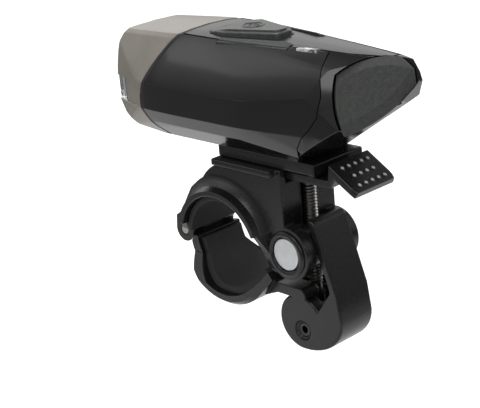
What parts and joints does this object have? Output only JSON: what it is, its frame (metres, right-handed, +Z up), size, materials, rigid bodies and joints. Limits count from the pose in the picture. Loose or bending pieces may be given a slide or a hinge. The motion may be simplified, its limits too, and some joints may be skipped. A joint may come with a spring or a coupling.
{
  "type": "bicycle headlight",
  "caption": "Bicycle headlight with a black and grey body, on a cam lever handlebar clamp with a quick release tab, a top button and a rubber charging port cover.",
  "frame": {"origin": "centre of the clamp bore", "axes": "+X along the clamp bore to the lamp's left side, -Y ahead where the beam points, +Z up from the bore to the lamp"},
  "size_m": [0.041, 0.1266, 0.1095],
  "materials": {
    "clamp_black": "satin black moulded clamp with a fine grain",
    "pad_rubber": "matte black rubber pad",
    "steel": "bare turned steel",
    "nut_silver": "satin silver turned nut",
    "bolt_steel": "plated threaded steel",
    "body_black": "gloss black moulded shell",
    "cover_black": "gloss black top panel",
    "cap_grey": "warm grey gloss front cap",
    "gasket_black": "black gasket line",
    "lens_clear": "clear moulded lens",
    "soft_grey": "dark grey speckled soft rubber",
    "ridge_rubber": "fine textured dark rubber",
    "indicator": "clear white light guide",
    "socket_metal": "plated port shell",
    "reflector_mirror": "bright reflector",
    "led_yellow": "phosphor on a pale ceramic base",
    "board_white": "white coated board",
    "sink_alu": "bare cast heat sink",
    "cell_wrap": "blue cell sleeve",
    "cradle_grey": "dark grey moulded cradle",
    "board_green": "green circuit board"
  },
  "bodies": {
    "lamp": {"upper_jaw": "clamp_black", "upper_pad": "pad_rubber", "clamp_hinge_pin": "steel", "barrel_nut": "nut_silver", "clamp_bolt": "bolt_steel", "mount_shoe": "clamp_black", "shoe_screws": "steel", "main_housing": "body_black", "top_cover": "cover_black", "front_cap": "cap_grey", "cap_gasket": "gasket_black", "lens": "lens_clear", "tail_cap": "body_black", "usb_socket": "socket_metal", "button_ridges": "ridge_rubber", "charge_window": "indicator", "reflector": "reflector_mirror", "led": "led_yellow", "led_board": "board_white", "heat_sink": "sink_alu", "battery_cell": "cell_wrap", "cell_cradle": "cradle_grey", "control_board": "board_green", "tact_switch": "cradle_grey"},
    "lever": {"cam_lever": "clamp_black", "lever_pin": "steel"},
    "jaw": {"lower_jaw": "clamp_black", "lower_pad": "pad_rubber"},
    "tab": {"release_tab": "clamp_black"},
    "button": {"power_button": "soft_grey"},
    "flap": {"usb_cover": "soft_grey"}
  },
  "joints": [
    {"name": "lever_hinge", "type": "hinge", "parent": "lamp", "child": "lever", "pos_m": [0, 0.029, -0.02725], "axis": [-1, 0, 0], "range_deg": [0, 130]},
    {"name": "jaw_hinge", "type": "hinge", "parent": "lamp", "child": "jaw", "pos_m": [0, -0.0252, -0.001], "axis": [-1, 0, 0], "range_deg": [0, 1.3]},
    {"name": "tab_flex", "type": "hinge", "parent": "lamp", "child": "tab", "pos_m": [0, 0.024, 0.0292], "axis": [-1, 0, 0], "range_deg": [0, 5.5], "stiffness_Nm_per_rad": 0.6},
    {"name": "button_press", "type": "slide", "parent": "lamp", "child": "button", "axis": [0, 0, -1], "range_m": [0, 0.0006], "stiffness_N_per_m": 400},
    {"name": "flap_hinge", "type": "hinge", "parent": "lamp", "child": "flap", "pos_m": [0.01263, 0.05395, 0.0585], "axis": [0.2305, 0.0978, -0.9681], "range_deg": [0, 100]}
  ],
  "couplings": [
    {"joint": "jaw_hinge", "follows": "lever_hinge", "ratio": 0.01}
  ]
}
